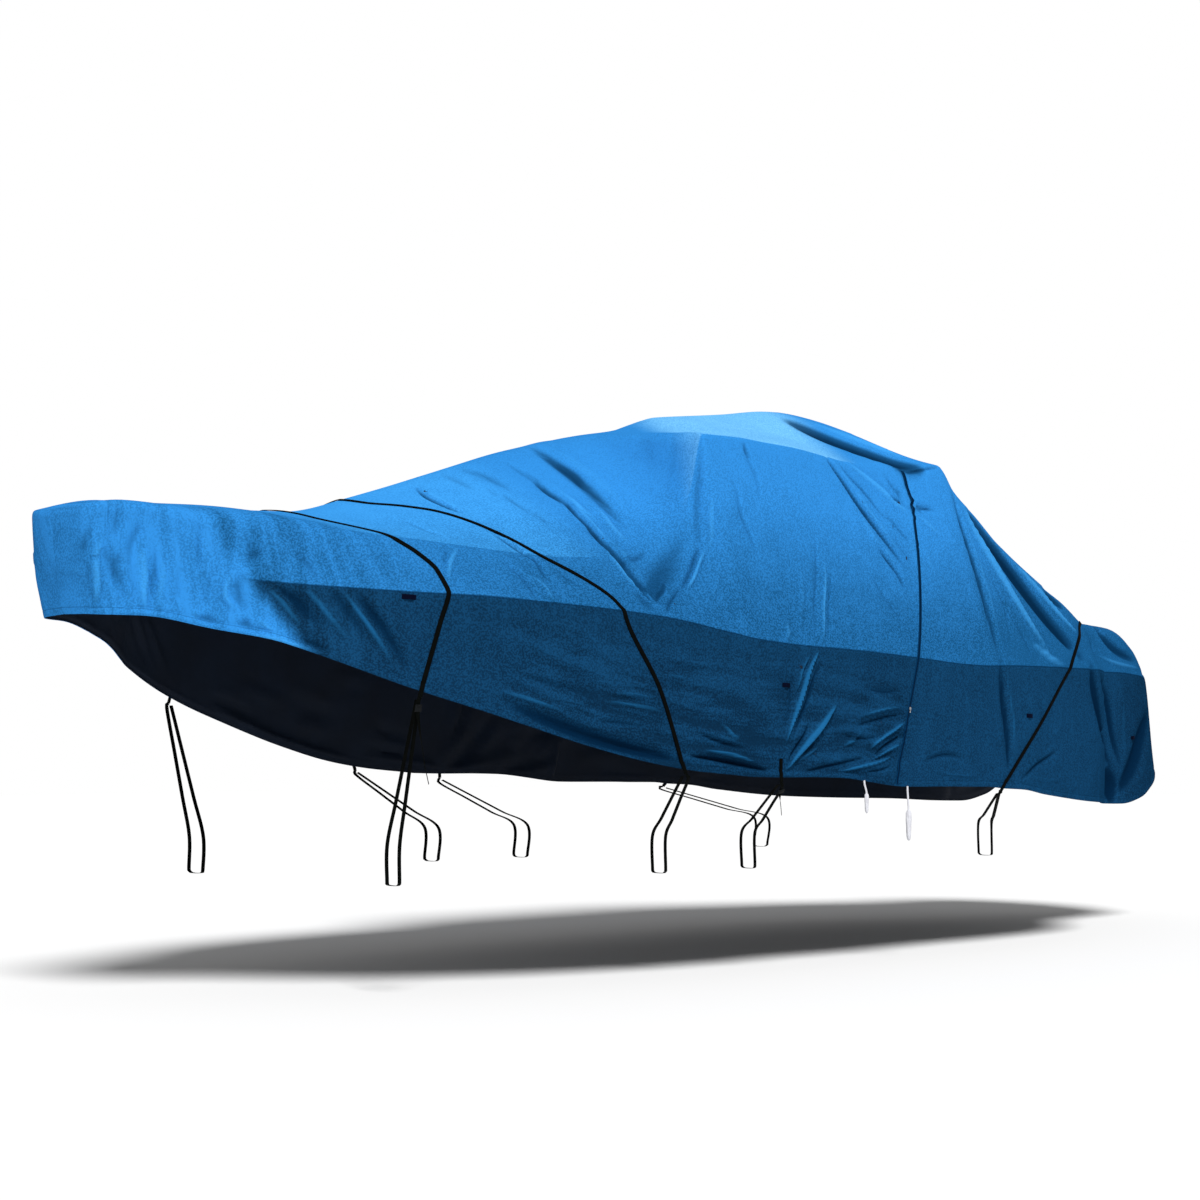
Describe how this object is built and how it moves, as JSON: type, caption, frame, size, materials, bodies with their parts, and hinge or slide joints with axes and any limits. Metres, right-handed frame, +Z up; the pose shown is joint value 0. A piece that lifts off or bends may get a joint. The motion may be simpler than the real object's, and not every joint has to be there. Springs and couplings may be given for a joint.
{
  "type": "boat cover",
  "caption": "Fitted blue cloth boat cover with a raised peaked roof, a side zip, webbing straps with hanging legs, belt loops and white hem ties; hollow and open below",
  "frame": {"origin": "just under the cloth of the roof's ridge, where the thing under the cover carries it", "axes": "+X aft along the cover, from bow end to stern end; +Y to starboard, away from the zip; +Z up"},
  "size_m": [8.04, 2.6066, 2.5518],
  "materials": {
    "coated_cloth": "blue coated polyester, satin",
    "webbing": "black woven webbing, matt",
    "loop_webbing": "dark woven webbing, matt",
    "zip": "dark moulded coil on dark tape",
    "slider": "bare metal",
    "buckle": "black moulded plastic",
    "tie_cord": "white braided cord"
  },
  "bodies": {
    "root": {"cover_front": "coated_cloth", "cover_aft": "coated_cloth", "strap_bow": "webbing", "strap_middle": "webbing", "strap_aft": "webbing", "strap_hem_port": "webbing", "strap_hem_starboard": "webbing", "leg_bow_port": "webbing", "leg_bow_starboard": "webbing", "leg_middle_port": "webbing", "leg_middle_starboard": "webbing", "leg_hem_port": "webbing", "leg_hem_starboard": "webbing", "leg_aft_port": "webbing", "leg_aft_starboard": "webbing", "tail_bow": "webbing", "tail_hem": "webbing", "buckle_bow": "buckle", "buckle_hem": "buckle", "belt_loop_1_port": "loop_webbing", "belt_loop_1_starboard": "loop_webbing", "belt_loop_2_port": "loop_webbing", "belt_loop_2_starboard": "loop_webbing", "belt_loop_3_port": "loop_webbing", "belt_loop_3_starboard": "loop_webbing", "belt_loop_4_port": "loop_webbing", "belt_loop_4_starboard": "loop_webbing", "zip_tape": "zip", "zip_slider": "slider", "tie_fore": "tie_cord", "tie_fore_bundle": "tie_cord", "tie_aft": "tie_cord", "tie_aft_bundle": "tie_cord"}
  },
  "joints": []
}
